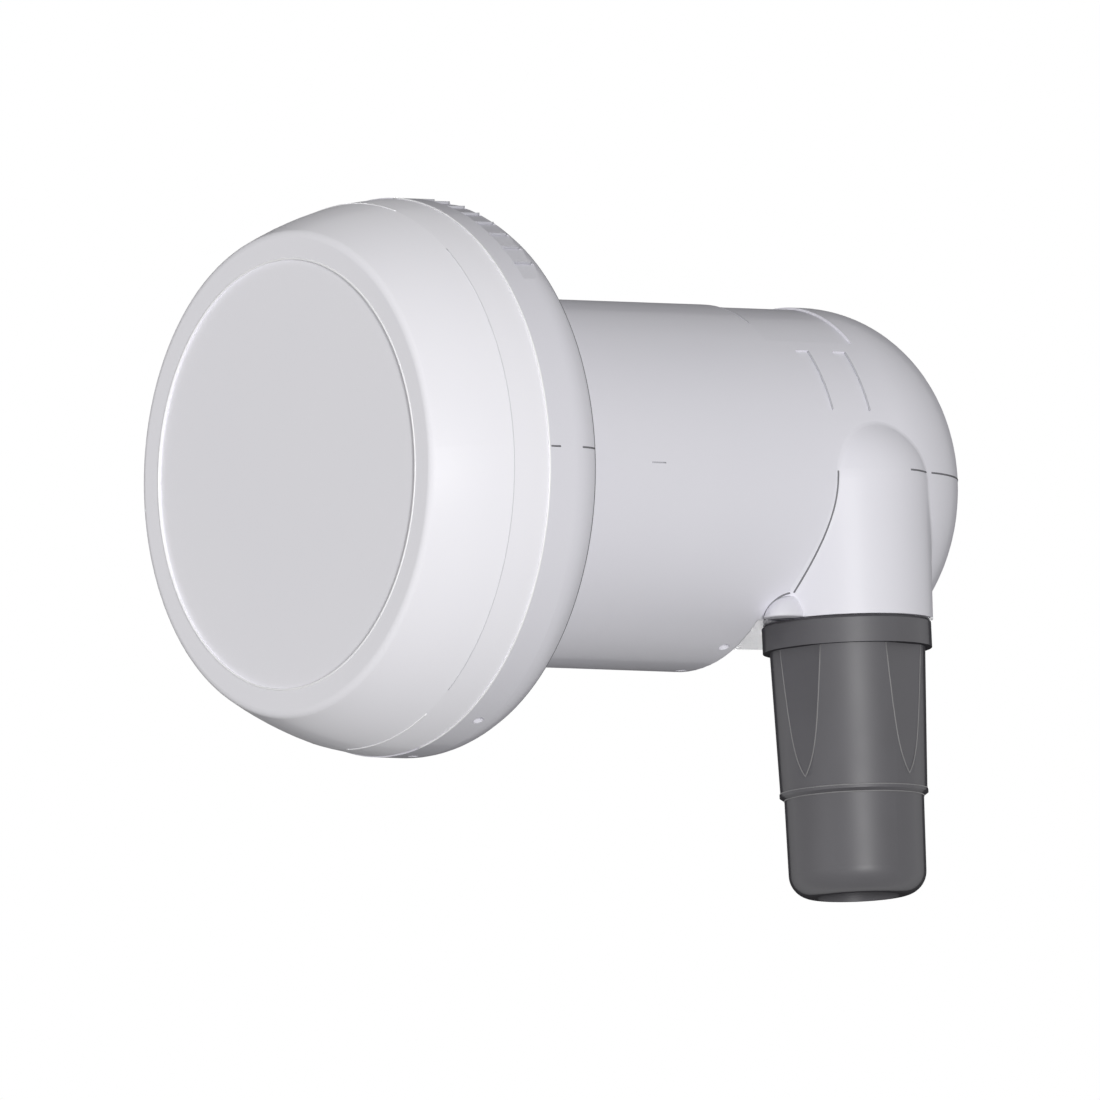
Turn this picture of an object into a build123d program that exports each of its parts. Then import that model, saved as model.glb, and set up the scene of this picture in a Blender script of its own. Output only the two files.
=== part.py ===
from build123d import *
from math import cos, radians, sin, sqrt
import os

# A satellite LNB: a feed cap, a housing in two shells around a 40 mm clamp neck, and one
# coaxial socket that points down under a push-on weather boot. +Y runs along the feed axis
# to the rear, +Z is up, and the origin is on the feed axis at the middle of the neck.
# All sizes are in millimetres.

# Housing shells
neck_radius = 20.0
neck_length = 34.0
ring_radius = 30.4
ring_length = 6.8
ring_crown_length = 3.2
ring_crown_drop = 1.05
rear_length = 29.1
dome_corner_radius = 14.5
housing_wall = 1.6
edge_fillet = 0.4

# Feed cap, measured back from its front face
cap_length = 13.2
cap_joint_gap = 0.15
cap_rim_radius = 30.27
cap_band_bulge = 0.05
cap_crease_depth = 8.8
cap_crease_radius = 29.65
cap_flank_depth = 4.4
cap_flank_radius = 28.25
cap_face_radius = 26.3
cap_corner_fillet = 0.9
cap_disc_radius = 23.4
cap_disc_recess = 0.3
cap_wall = 1.5
cap_bore_radius = 27.9
cap_bore_front = 6.6
snap_bead_height = 0.35
snap_bead_length = 1.0
snap_bead_inset = 1.2

# Fits
slip_clearance = 0.1
running_clearance = 0.05
seat_gap = 0.05
free_clearance = 0.3

# Spigot that carries the cap, and the die-cast horn's rim in front of it
spigot_length = 2.6
rim_length = 3.7
seal_section = 1.6
seal_groove_width = 1.8
seal_groove_depth = 1.5

# Feed horn and waveguide
waveguide_radius = 8.75
waveguide_wall = 1.5
horn_plate = 2.2
choke_wall = 1.4
choke_gap = 4.2
choke_step = 1.0
horn_mouth_inset = 2.6
probe_short = 8.5
rod_short = 5.0
rod_radius = 0.8
probe_radius = 0.5
probe_reach = 5.4
probe_bend_radius = 1.5
probe_drop = 4.2
sleeve_radius = 1.9

# Socket, on a vertical axis beside the feed axis
connector_x = 12.3
connector_setback = 11.65
shelf_depth = 15.8
boss_radius = 9.7
boss_foot_radius = 9.44
boss_dome_start = -1.0
boss_dome_height = 9.0
boss_lobe_radius = 3.15
boss_lobe_offset = 7.6
boss_lobe_sink = 0.0
boss_blend = 1.0
boss_spigot_radius = 7.0
boss_spigot_length = 2.8
thread_radius = 4.7625
thread_length = 11.2
thread_chamfer = 0.5
socket_bore_radius = 3.2
socket_flange_radius = 6.4
socket_flange_height = 1.6
socket_seal_height = 0.9
socket_shank_radius = 3.9
socket_land_radius = 4.95
socket_land_reach = 0.5
socket_block_radius = 6.6
contact_radius = 0.5
contact_barrel_radius = 0.9
contact_barrel_length = 8.0
contact_inset = 1.2
contact_on_board = 2.5
insulator_inset = 0.4
insulator_neck_radius = 1.1

# Weather boot
boot_collar_radius = 9.21
boot_collar_height = 2.95
boot_collar_chamfer = 0.25
boot_sleeve_top_radius = 8.46
boot_sleeve_foot_radius = 8.0
boot_sleeve_length = 15.45
boot_bead_proud = 0.1
boot_bead_height = 0.35
boot_step_height = 0.35
boot_barrel_radius = 7.6
boot_barrel_foot_radius = 7.46
boot_barrel_length = 10.75
boot_foot_fillet = 2.6
boot_floor = 2.2
boot_barrel_bore_radius = 6.4
cable_hole_radius = 4.55
grip_flat_half_angle = 20.0
grip_flat_count = 4
grip_flat_turn = 13.0
grip_flat_tip = 1.3

# Electronics chamber, on the socket's side of the waveguide
chamber_front = -7.0
chamber_rear_reach = 1.5
chamber_wall = 1.2
chamber_floor_sink = 0.55
chamber_web_depth = 4.5
cover_headroom = 2.7
cover_thickness = 0.8
gasket_thickness = 0.4
board_thickness = 0.6
screw_radius = 1.0
screw_head_radius = 1.4
screw_head_height = 0.7
screw_length = 3.0
screw_pad_radius = 1.8
tuning_screw_radius = 1.25
tuning_gap = 0.5
resonator_height = 1.1
resonator_z = -4.1
low_band_radius = 2.5
high_band_radius = 2.2
resonator_spacing = 5.6
resonator_setback = 7.6
fence_wall = 0.6
fence_margin = 0.3
board_screw_spots = ((2.0, 5.5), (17.8, -5.5))
board_screw_length = 2.0
transistor_size = (1.4, 1.4, 0.6)
transistor_spots = ((9.3, 2.8), (22.8, 2.8), (16.0, 2.8))
mixer_size = (4.0, 4.0, 0.9)
mixer_spot = (7.2, 6.0)
regulator_size = (5.0, 4.0, 1.4)
regulator_spot = (26.5, 5.6)

# Surface details of the shells
label_front = 18.5
label_rear = 30.1
label_half_angle = 43.0
label_recess = 0.25
slot_depth = 0.2
slot_length = 1.75
slot_angles = (47.3, 70.8)
slot_fronts = (21.6, 26.6)
tooth_count = 9
tooth_pitch = 5.3
tooth_first_angle = 3.3
tooth_depth = 0.35
tooth_inset = 2.4
drain_radius = 0.62
drain_angle = 23.5
drain_neck_inset = 1.8
drain_ring_inset = 2.2
cradle_thickness = 1.5
cradle_front = -13.0
cradle_rear = 25.0
tongue_thickness = 1.2
tongue_width = 7.0
tongue_drop = 3.0
tongue_root = 5.0
tongue_places = (-4.0, 10.0)

# Stations along the feed axis
neck_front = -neck_length / 2
neck_rear = neck_length / 2
ring_front = neck_front - ring_length
cap_front = ring_front - cap_length
cap_rear = ring_front - cap_joint_gap
body_rear = neck_rear + rear_length
dome_start = body_rear - dome_corner_radius
dome_flat_radius = neck_radius - dome_corner_radius
spigot_front = ring_front - spigot_length
rim_front = spigot_front - rim_length
horn_mouth = cap_front + horn_mouth_inset
choke_reaches = [spigot_front - horn_mouth - index * choke_step for index in range(3)]
chamber_rear = dome_start + chamber_rear_reach
waveguide_end = chamber_rear
waveguide_short = waveguide_end - waveguide_wall
vertical_probe_y = waveguide_short - probe_short
rod_y = vertical_probe_y - rod_short
horizontal_probe_y = rod_y - probe_short
connector_y = neck_rear + connector_setback

# Radii and heights that follow from the walls and the fits
tube_bore = neck_radius - housing_wall
ring_bore = ring_radius - housing_wall
spigot_radius = cap_bore_radius - slip_clearance
spigot_bore = spigot_radius - housing_wall
rim_radius = cap_bore_radius - free_clearance
waveguide_outer = waveguide_radius + waveguide_wall
bead_y = cap_rear - snap_bead_inset - snap_bead_length / 2
shelf_z = -shelf_depth
shelf_floor_z = shelf_z + housing_wall
boss_bore = boss_foot_radius - housing_wall
boss_spigot_foot = shelf_z - boss_spigot_length
seal_ring_top = shelf_floor_z + seat_gap + socket_seal_height
flange_foot = seal_ring_top + seat_gap
flange_top = flange_foot + socket_flange_height
land_foot = boss_spigot_foot - socket_land_reach
thread_foot = shelf_z - thread_length
board_face = connector_x - contact_radius - seat_gap
board_back = board_face - board_thickness
chamber_floor = board_back - seat_gap
chamber_floor_back = waveguide_outer - chamber_floor_sink
chamber_web_back = chamber_floor_back - chamber_web_depth
screw_top = tube_bore - cover_headroom
cover_top = screw_top - screw_head_height
cover_back = cover_top - cover_thickness
chamber_top = cover_back - gasket_thickness
screw_reach = sqrt((tube_bore - free_clearance) ** 2 - screw_top ** 2)
screw_z = screw_reach - screw_head_radius
chamber_half = screw_z + screw_pad_radius
chamber_mid_y = (chamber_front + chamber_rear) / 2
chamber_length = chamber_rear - chamber_front
pocket_half = chamber_half - chamber_wall
pocket_length = chamber_length - 2 * chamber_wall
screw_span = chamber_length - 2 * screw_pad_radius
shank_top = -chamber_half - seat_gap
low_band_y = horizontal_probe_y - resonator_setback
high_band_y = low_band_y + resonator_spacing
probe_lead = board_face + free_clearance
rod_end = chamber_floor_back + seat_gap
resonator_top = board_face + seat_gap + resonator_height

# Axis and section plane of the socket and of all that is turned around it
connector_axis = Axis((connector_x, connector_y, 0), (0, 0, 1))
connector_plane = Plane(origin=(connector_x, connector_y, 0), x_dir=(1, 0, 0), z_dir=(0, -1, 0))
upward = Plane(origin=(connector_x, connector_y, 0))

big = 200.0


def cross_plane(y):
    """The plane across the feed axis at y, where a positive extrusion runs to the front."""
    return Plane.XZ.offset(-y)


def side_plane(x):
    """The plane of the circuit board's side at x, whose local axes are Y and Z."""
    return Plane.YZ.offset(x)


def radial_plane(angle):
    """The half plane through the feed axis at an angle from the top, local x pointing out."""
    out = radians(angle)
    return Plane(origin=(0, 0, 0), x_dir=(sin(out), 0, cos(out)), z_dir=(-cos(out), 0, sin(out)))


def on_circle(radius, angle):
    """A point across the feed axis, at an angle from the top."""
    return (radius * sin(radians(angle)), radius * cos(radians(angle)))


def save(piece, label):
    """Name a finished piece and write its file."""
    piece.part.label = label
    export_step(piece.part, f"parts/{label}.step")


os.makedirs("parts", exist_ok=True)

# The full outer form of the housing, with the cap's groove, before it is hollowed and parted
with BuildPart() as housing_form:
    with BuildSketch(Plane.XY):
        with BuildLine():
            mouth = Polyline(
                (0, spigot_front),
                (spigot_radius, spigot_front),
                (spigot_radius, ring_front),
                (ring_radius, ring_front),
                (ring_radius, neck_front - ring_crown_length),
            )
            crown = TangentArc(mouth @ 1, (ring_radius - ring_crown_drop, neck_front), tangent=(0, 1))
            tube = Polyline(crown @ 1, (neck_radius, neck_front), (neck_radius, dome_start))
            dome = CenterArc((dome_flat_radius, dome_start), dome_corner_radius, 0, 90)
            Polyline(dome @ 1, (0, body_rear), (0, spigot_front))
        make_face()
    revolve(axis=Axis.Y)
    with Locations((connector_x, connector_y - boss_lobe_offset, shelf_z - boss_lobe_sink)):
        Sphere(boss_lobe_radius)
    with BuildSketch(Plane.XY.offset(shelf_z)):
        with Locations((0, neck_rear + big / 2)):
            Rectangle(big, big)
    extrude(amount=-big, mode=Mode.SUBTRACT)
    ledge = housing_form.faces().filter_by(Axis.Y).filter_by_position(
        Axis.Y, neck_rear - running_clearance, neck_rear + running_clearance
    )
    fillet(ledge.edges().filter_by(GeomType.CIRCLE), edge_fillet)
    with BuildSketch(connector_plane):
        with BuildLine():
            foot = Line((0, shelf_z), (boss_foot_radius, shelf_z))
            Line(foot @ 1, (boss_radius, boss_dome_start))
            boss_crown = EllipticalCenterArc(
                (0, boss_dome_start), boss_radius, boss_dome_height, start_angle=0, arc_size=90
            )
            Line(boss_crown @ 1, (0, shelf_z))
        make_face()
    revolve(axis=connector_axis)
    boss_seam = housing_form.edges().filter_by(GeomType.BSPLINE)
    fillet(boss_seam.filter_by_position(Axis.Z, 0, neck_radius), boss_blend)
    ring_edges = housing_form.edges().filter_by(GeomType.CIRCLE).filter_by_position(
        Axis.Y, neck_front - running_clearance, neck_front + running_clearance
    )
    fillet(ring_edges, edge_fillet)
    with BuildSketch(Plane.XY):
        with Locations(((spigot_radius + ring_bore) / 2, (ring_front + neck_front - housing_wall) / 2)):
            Rectangle(ring_bore - spigot_radius, ring_length - housing_wall)
        with Locations((spigot_radius, bead_y)):
            Rectangle(2 * (snap_bead_height - running_clearance), snap_bead_length + 2 * slip_clearance)
    revolve(axis=Axis.Y, mode=Mode.SUBTRACT)

# The hollow inside both shells, less the two cradles that hold the waveguide
with BuildPart() as housing_hollow:
    with BuildSketch(Plane.XY):
        with BuildLine():
            mouth = Polyline(
                (0, spigot_front - housing_wall),
                (spigot_bore, spigot_front - housing_wall),
                (spigot_bore, neck_front - housing_wall),
                (tube_bore, neck_front - housing_wall),
                (tube_bore, dome_start),
            )
            dome = CenterArc((dome_flat_radius, dome_start), dome_corner_radius - housing_wall, 0, 90)
            Polyline(dome @ 1, (0, body_rear - housing_wall), (0, spigot_front - housing_wall))
        make_face()
    revolve(axis=Axis.Y)
    with BuildSketch(cross_plane(cradle_front)):
        Circle(tube_bore + housing_wall)
        Circle(waveguide_outer + free_clearance, mode=Mode.SUBTRACT)
    extrude(amount=cradle_thickness, mode=Mode.SUBTRACT)
    with BuildSketch(cross_plane(cradle_rear)):
        Circle(tube_bore + housing_wall)
        Circle(waveguide_outer + free_clearance, mode=Mode.SUBTRACT)
        with Locations((chamber_floor_back - free_clearance + big / 2, 0)):
            Rectangle(big, big, mode=Mode.SUBTRACT)
    extrude(amount=cradle_thickness, mode=Mode.SUBTRACT)
    with BuildSketch(Plane.XY.offset(shelf_floor_z)):
        with Locations((0, neck_rear - housing_wall + big / 2)):
            Rectangle(big, big)
    extrude(amount=-big, mode=Mode.SUBTRACT)
    with BuildSketch(connector_plane):
        with BuildLine():
            foot = Line((0, shelf_floor_z), (boss_bore, shelf_floor_z))
            Line(foot @ 1, (boss_bore, boss_dome_start))
            bore_crown = EllipticalCenterArc(
                (0, boss_dome_start),
                boss_bore,
                boss_dome_height - housing_wall,
                start_angle=0,
                arc_size=90,
            )
            Line(bore_crown @ 1, (0, shelf_floor_z))
        make_face()
    revolve(axis=connector_axis)

# The upper shell: ring teeth, label recess, grip slots and the tongues that line up the shells
with BuildPart() as upper_housing:
    add(housing_form.part)
    add(housing_hollow.part, mode=Mode.SUBTRACT)
    with BuildSketch(cross_plane(neck_front + slip_clearance)):
        for side in (1, -1):
            for index in range(tooth_count):
                step = tooth_first_angle + index * tooth_pitch
                with BuildLine():
                    Polyline(
                        on_circle(ring_radius - tooth_depth, side * step),
                        on_circle(ring_radius + tooth_depth, side * step),
                        on_circle(ring_radius + tooth_depth, side * (step + tooth_pitch)),
                        on_circle(ring_radius, side * (step + tooth_pitch)),
                        close=True,
                    )
                make_face()
    extrude(amount=ring_length - tooth_inset, mode=Mode.SUBTRACT)
    with BuildSketch(radial_plane(-label_half_angle)):
        with Locations((neck_radius, (label_front + label_rear) / 2)):
            Rectangle(2 * label_recess, label_rear - label_front)
    revolve(axis=Axis.Y, revolution_arc=2 * label_half_angle, mode=Mode.SUBTRACT)
    slot_start, slot_end = slot_angles
    for start in (slot_start, -slot_end):
        with BuildSketch(radial_plane(start)):
            for front in slot_fronts:
                with Locations((neck_radius, front + slot_length / 2)):
                    Rectangle(2 * slot_depth, slot_length)
        revolve(axis=Axis.Y, revolution_arc=slot_end - slot_start, mode=Mode.SUBTRACT)
    with BuildSketch(Plane.XY):
        Rectangle(2 * big, 2 * big)
    extrude(amount=-big, mode=Mode.SUBTRACT)
    with BuildSketch(Plane.XY.offset(-tongue_drop)):
        for place in tongue_places:
            for side in (1, -1):
                with Locations((side * (tube_bore - free_clearance - tongue_thickness / 2), place)):
                    Rectangle(tongue_thickness, tongue_width)
    extrude(amount=tongue_drop + tongue_root)
save(upper_housing, "upper_housing")

# The lower shell: drain holes, the socket's floor and the short spigot that the boot grips
with BuildPart() as lower_housing:
    add(housing_form.part)
    add(housing_hollow.part, mode=Mode.SUBTRACT)
    with BuildSketch(Plane.XY):
        Rectangle(2 * big, 2 * big)
    extrude(amount=big, mode=Mode.SUBTRACT)
    with BuildSketch(upward.offset(boss_spigot_foot)):
        Circle(boss_spigot_radius)
    extrude(amount=boss_spigot_length)
    with BuildSketch(upward.offset(boss_spigot_foot)):
        Circle(socket_land_radius + slip_clearance)
    extrude(amount=boss_spigot_length + 2 * housing_wall, mode=Mode.SUBTRACT)
    neck_drains = (neck_rear - drain_neck_inset, neck_radius)
    ring_drains = (ring_front + drain_ring_inset, ring_radius)
    for angle in (180 - drain_angle, 180, 180 + drain_angle):
        across = radial_plane(angle)
        for y, reach in (neck_drains, ring_drains):
            spot = across.from_local_coords(Vector(reach + housing_wall, y, 0))
            with BuildSketch(Plane(origin=spot, z_dir=-across.x_dir)):
                Circle(drain_radius)
            extrude(amount=2.5 * housing_wall, mode=Mode.SUBTRACT)
save(lower_housing, "lower_housing")

# The feed cap: a thin dish that is transparent to the signal and snaps over the spigot
with BuildPart() as feed_cap:
    with BuildSketch(Plane.XY):
        with BuildLine():
            face = Polyline(
                (0, cap_front + cap_disc_recess),
                (cap_disc_radius, cap_front + cap_disc_recess),
                (cap_disc_radius, cap_front),
                (cap_face_radius, cap_front),
            )
            flank = ThreePointArc(
                face @ 1,
                (cap_flank_radius, cap_front + cap_flank_depth),
                (cap_crease_radius, cap_front + cap_crease_depth),
            )
            band = ThreePointArc(
                flank @ 1,
                (
                    (cap_crease_radius + cap_rim_radius) / 2 + cap_band_bulge,
                    (cap_front + cap_crease_depth + cap_rear) / 2,
                ),
                (cap_rim_radius, cap_rear),
            )
            Polyline(
                band @ 1,
                (cap_bore_radius, cap_rear),
                (cap_bore_radius, cap_front + cap_bore_front),
                (cap_face_radius - cap_wall / 2, cap_front + cap_wall),
                (0, cap_front + cap_wall),
                (0, cap_front + cap_disc_recess),
            )
        make_face()
    revolve(axis=Axis.Y)
    front_edges = feed_cap.edges().filter_by(GeomType.CIRCLE).filter_by_position(
        Axis.Y, cap_front - running_clearance, cap_front + running_clearance
    )
    fillet(front_edges.sort_by(SortBy.RADIUS)[-1], cap_corner_fillet)
    with BuildSketch(Plane.XY):
        with BuildLine():
            Polyline(
                (cap_bore_radius + seat_gap, bead_y - snap_bead_length / 2),
                (cap_bore_radius - snap_bead_height, bead_y),
                (cap_bore_radius + seat_gap, bead_y + snap_bead_length / 2),
                close=True,
            )
        make_face()
    revolve(axis=Axis.Y)
save(feed_cap, "feed_cap")

# The die-cast horn: corrugated mouth, round waveguide, electronics chamber and socket block
with BuildPart() as horn_body:
    with BuildSketch(cross_plane(spigot_front)):
        Circle(rim_radius)
    extrude(amount=horn_plate)
    with BuildSketch(cross_plane(spigot_front)):
        Circle(rim_radius)
        Circle(rim_radius - seal_groove_depth - choke_wall, mode=Mode.SUBTRACT)
    extrude(amount=rim_length)
    for index, reach in enumerate(choke_reaches):
        inside = waveguide_radius + index * (choke_wall + choke_gap)
        with BuildSketch(cross_plane(spigot_front)):
            Circle(inside + choke_wall)
            Circle(inside, mode=Mode.SUBTRACT)
        extrude(amount=reach)
    with BuildSketch(Plane.XY):
        with Locations((rim_radius, rim_front + rim_length / 2)):
            Rectangle(2 * seal_groove_depth, seal_groove_width)
    revolve(axis=Axis.Y, mode=Mode.SUBTRACT)
    with BuildSketch(cross_plane(waveguide_end)):
        Circle(waveguide_outer)
    extrude(amount=waveguide_end - spigot_front)
    with BuildSketch(side_plane(chamber_floor_back)):
        with Locations((chamber_mid_y, 0)):
            Rectangle(chamber_length, 2 * chamber_half)
    extrude(amount=chamber_top - chamber_floor_back)
    with BuildSketch(side_plane(chamber_web_back)):
        for y in (chamber_front + chamber_wall / 2, chamber_rear - chamber_wall / 2):
            with Locations((y, 0)):
                Rectangle(chamber_wall, 2 * chamber_half)
    extrude(amount=chamber_floor - chamber_web_back)
    with BuildSketch(side_plane(chamber_floor)):
        with Locations((chamber_mid_y, 0)):
            Rectangle(pocket_length, 2 * pocket_half)
            with GridLocations(screw_span / 2, 2 * screw_z, 3, 2):
                Circle(screw_pad_radius, mode=Mode.SUBTRACT)
    extrude(amount=big, mode=Mode.SUBTRACT)
    with BuildSketch(side_plane(chamber_top)):
        with Locations((chamber_mid_y, 0)):
            with GridLocations(screw_span / 2, 2 * screw_z, 3, 2):
                Circle(screw_radius + running_clearance)
    extrude(amount=-screw_length, mode=Mode.SUBTRACT)
    with BuildSketch(upward.offset(flange_top)):
        Circle(socket_block_radius)
    extrude(amount=-chamber_half - flange_top)
    with BuildSketch(upward.offset(flange_top)):
        Circle(socket_shank_radius + running_clearance)
    extrude(amount=-chamber_half - flange_top, mode=Mode.SUBTRACT)
    with BuildSketch(upward.offset(flange_top)):
        Circle(insulator_neck_radius + running_clearance)
    extrude(amount=-pocket_half - flange_top, mode=Mode.SUBTRACT)
    with BuildSketch(cross_plane(waveguide_short)):
        Circle(waveguide_radius)
    extrude(amount=big, mode=Mode.SUBTRACT)
    with BuildSketch(side_plane(rod_end + seat_gap)):
        with Locations((rod_y, 0)):
            Circle(rod_radius + running_clearance)
    extrude(amount=-big, mode=Mode.SUBTRACT)
    with BuildSketch(side_plane(chamber_floor)):
        for y in (horizontal_probe_y, vertical_probe_y):
            with Locations((y, 0)):
                Circle(sleeve_radius + running_clearance)
    extrude(amount=waveguide_radius - waveguide_wall - chamber_floor, mode=Mode.SUBTRACT)
    with BuildSketch(side_plane(chamber_floor)):
        with Locations(*board_screw_spots):
            Circle(screw_radius + running_clearance)
    extrude(amount=-board_screw_length, mode=Mode.SUBTRACT)
save(horn_body, "horn_body")

# The rubber ring in the rim's groove, which seals the cap
with BuildPart() as cap_seal:
    with BuildSketch(Plane.XY):
        with Locations(
            (rim_radius - seal_groove_depth + seat_gap + seal_section / 2, rim_front + rim_length / 2)
        ):
            Circle(seal_section / 2)
    revolve(axis=Axis.Y)
save(cap_seal, "cap_seal")

# The brass rod across the waveguide that separates the two probes
with BuildPart() as isolation_rod:
    with BuildSketch(side_plane(rod_end)):
        with Locations((rod_y, 0)):
            Circle(rod_radius)
    extrude(amount=-rod_end - waveguide_outer)
save(isolation_rod, "isolation_rod")

# The two pick-up probes: one straight, one bent down
with BuildPart() as horizontal_probe:
    with BuildSketch(side_plane(probe_lead)):
        with Locations((horizontal_probe_y, 0)):
            Circle(probe_radius)
    extrude(amount=waveguide_radius - probe_reach - probe_lead)
    tip = horizontal_probe.faces().sort_by(Axis.X)[0]
    fillet(tip.edges(), probe_radius / 2)
save(horizontal_probe, "horizontal_probe")

with BuildPart() as vertical_probe:
    bend_x = waveguide_radius - probe_reach
    with BuildLine():
        FilletPolyline(
            (probe_lead, vertical_probe_y, 0),
            (bend_x, vertical_probe_y, 0),
            (bend_x, vertical_probe_y, -probe_drop),
            radius=probe_bend_radius,
        )
    with BuildSketch(side_plane(probe_lead)):
        with Locations((vertical_probe_y, 0)):
            Circle(probe_radius)
    sweep()
save(vertical_probe, "vertical_probe")

# The two insulating sleeves that hold the probes in the chamber floor
with BuildPart() as probe_sleeves:
    with BuildSketch(side_plane(chamber_floor)):
        for y in (horizontal_probe_y, vertical_probe_y):
            with Locations((y, 0)):
                Circle(sleeve_radius)
                Circle(probe_radius + running_clearance, mode=Mode.SUBTRACT)
    extrude(amount=waveguide_radius - chamber_floor)
save(probe_sleeves, "probe_sleeves")

# The circuit board, cut away round the screw pads
with BuildPart() as circuit_board:
    with BuildSketch(side_plane(board_back)):
        with Locations((chamber_mid_y, 0)):
            Rectangle(pocket_length - 2 * free_clearance, 2 * (pocket_half - free_clearance))
            with GridLocations(screw_span / 2, 2 * screw_z, 3, 2):
                Circle(screw_pad_radius + free_clearance, mode=Mode.SUBTRACT)
        with Locations((horizontal_probe_y, 0), (vertical_probe_y, 0)):
            Circle(probe_radius + slip_clearance, mode=Mode.SUBTRACT)
        with Locations(*board_screw_spots):
            Circle(screw_radius + slip_clearance, mode=Mode.SUBTRACT)
    extrude(amount=board_thickness)
save(circuit_board, "circuit_board")


def screw_set(spots, seat, length):
    """Pan-head screws along X with their heads on the face at seat."""
    with BuildPart() as screws:
        with BuildSketch(side_plane(seat)):
            with Locations(*spots):
                Circle(screw_head_radius)
        extrude(amount=screw_head_height)
        with BuildSketch(side_plane(seat)):
            with Locations(*spots):
                Circle(screw_radius)
        extrude(amount=-length)
        heads = screws.faces().filter_by(Axis.X).group_by(Axis.X)[-1]
        fillet(heads.edges(), screw_head_height / 2)
        with BuildSketch(side_plane(seat + screw_head_height)):
            with Locations(*spots):
                Rectangle(2 * screw_radius, screw_head_height / 2)
        extrude(amount=-screw_head_height / 2, mode=Mode.SUBTRACT)
    return screws


board_screw_reach = board_thickness + board_screw_length
save(screw_set(board_screw_spots, board_face + seat_gap, board_screw_reach), "board_screws")


def chips(size, spots):
    """Flat packages on the board's face."""
    with BuildPart() as packages:
        with BuildSketch(side_plane(board_face + seat_gap)):
            with Locations(*spots):
                Rectangle(size[0], size[1])
        extrude(amount=size[2])
        chamfer(packages.faces().filter_by(Axis.X).group_by(Axis.X)[-1].edges(), size[2] / 4)
    return packages


save(chips(transistor_size, transistor_spots), "input_transistors")
save(chips(mixer_size, [mixer_spot]), "mixer_chip")
save(chips(regulator_size, [regulator_spot]), "voltage_regulator")


def resonator(radius, y):
    """A ceramic puck on the board that sets one local oscillator."""
    with BuildPart() as puck:
        with BuildSketch(side_plane(board_face + seat_gap)):
            with Locations((y, resonator_z)):
                Circle(radius)
        extrude(amount=resonator_height)
    return puck


save(resonator(low_band_radius, low_band_y), "low_band_resonator")
save(resonator(high_band_radius, high_band_y), "high_band_resonator")

# The two tuning screws over the resonators, through the cover
with BuildPart() as tuning_screws:
    with BuildSketch(side_plane(resonator_top + tuning_gap)):
        with Locations((low_band_y, resonator_z), (high_band_y, resonator_z)):
            Circle(tuning_screw_radius)
    extrude(amount=screw_top - resonator_top - tuning_gap)
    with BuildSketch(side_plane(screw_top)):
        with Locations((low_band_y, resonator_z), (high_band_y, resonator_z)):
            Rectangle(2 * tuning_screw_radius, screw_head_height / 2)
    extrude(amount=-screw_head_height / 2, mode=Mode.SUBTRACT)
save(tuning_screws, "tuning_screws")

# The chamber's cover, with the fence that shuts the oscillators off from the rest
with BuildPart() as chamber_cover:
    with BuildSketch(side_plane(cover_back)):
        with Locations((chamber_mid_y, 0)):
            RectangleRounded(chamber_length, 2 * chamber_half, chamber_wall)
            with GridLocations(screw_span / 2, 2 * screw_z, 3, 2):
                Circle(screw_radius + slip_clearance, mode=Mode.SUBTRACT)
    extrude(amount=cover_thickness)
    fence_reach = low_band_radius + fence_margin
    fence_length = resonator_spacing + 2 * fence_reach
    with BuildSketch(side_plane(cover_back)):
        with Locations(((low_band_y + high_band_y) / 2, resonator_z)):
            Rectangle(fence_length + 2 * fence_wall, 2 * (fence_reach + fence_wall))
            Rectangle(fence_length, 2 * fence_reach, mode=Mode.SUBTRACT)
    extrude(amount=board_face + slip_clearance - cover_back)
    with BuildSketch(side_plane(cover_top)):
        with Locations((low_band_y, resonator_z), (high_band_y, resonator_z)):
            Circle(tuning_screw_radius + running_clearance)
    extrude(amount=-cover_thickness, mode=Mode.SUBTRACT)
save(chamber_cover, "chamber_cover")

with BuildPart() as cover_gasket:
    with BuildSketch(side_plane(chamber_top)):
        with Locations((chamber_mid_y, 0)):
            Rectangle(chamber_length, 2 * chamber_half)
            Rectangle(pocket_length, 2 * pocket_half, mode=Mode.SUBTRACT)
            with GridLocations(screw_span / 2, 2 * screw_z, 3, 2):
                Circle(screw_pad_radius)
                Circle(screw_radius + slip_clearance, mode=Mode.SUBTRACT)
    extrude(amount=gasket_thickness)
save(cover_gasket, "cover_gasket")

screw_rows = [
    (chamber_mid_y + along * screw_span / 2, side * screw_z) for along in (-1, 0, 1) for side in (-1, 1)
]
save(screw_set(screw_rows, cover_top, cover_top - chamber_top + screw_length - seat_gap), "cover_screws")

# The socket's metal shell: shank in the block, flange, plain land in the floor, threaded barrel
with BuildPart() as socket_shell:
    with BuildSketch(connector_plane):
        with BuildLine():
            Polyline(
                (socket_bore_radius, shank_top),
                (socket_shank_radius, shank_top),
                (socket_shank_radius, flange_top),
                (socket_flange_radius, flange_top),
                (socket_flange_radius, flange_foot),
                (socket_land_radius, flange_foot),
                (socket_land_radius, land_foot),
                (thread_radius, land_foot),
                (thread_radius, thread_foot + thread_chamfer),
                (thread_radius - thread_chamfer, thread_foot),
                (socket_bore_radius, thread_foot),
                close=True,
            )
        make_face()
    revolve(axis=connector_axis)
save(socket_shell, "socket_shell")

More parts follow.
